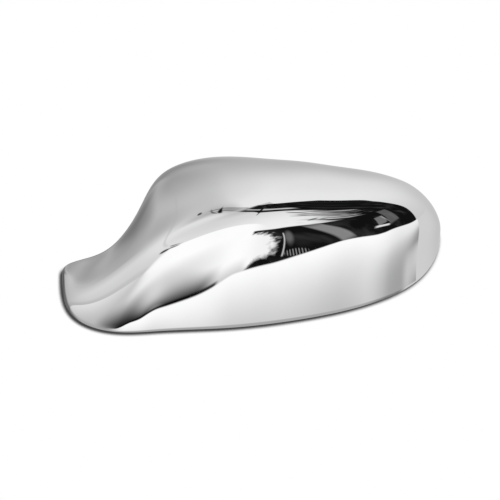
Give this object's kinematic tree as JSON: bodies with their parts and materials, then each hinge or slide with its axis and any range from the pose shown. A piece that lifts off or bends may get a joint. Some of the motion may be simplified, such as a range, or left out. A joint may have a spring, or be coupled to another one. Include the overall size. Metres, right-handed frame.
{
  "type": "wing mirror cover",
  "caption": "Chrome wing mirror cover: a thin moulded shell with a broad domed head that sweeps down to a low neck, open underneath to fit over a car's mirror housing",
  "frame": {"origin": "the middle of the cover's box, on the plane of its rim", "axes": "+X along the length from the neck to the outer end, +Y across the width from the edge near the viewer to the far edge, +Z from the rim up to the crown"},
  "size_m": [0.2502, 0.1207, 0.0751],
  "materials": {
    "chrome": "mirror-bright plating on moulded plastic"
  },
  "bodies": {
    "root": {"mirror_cover": "chrome"}
  },
  "joints": []
}
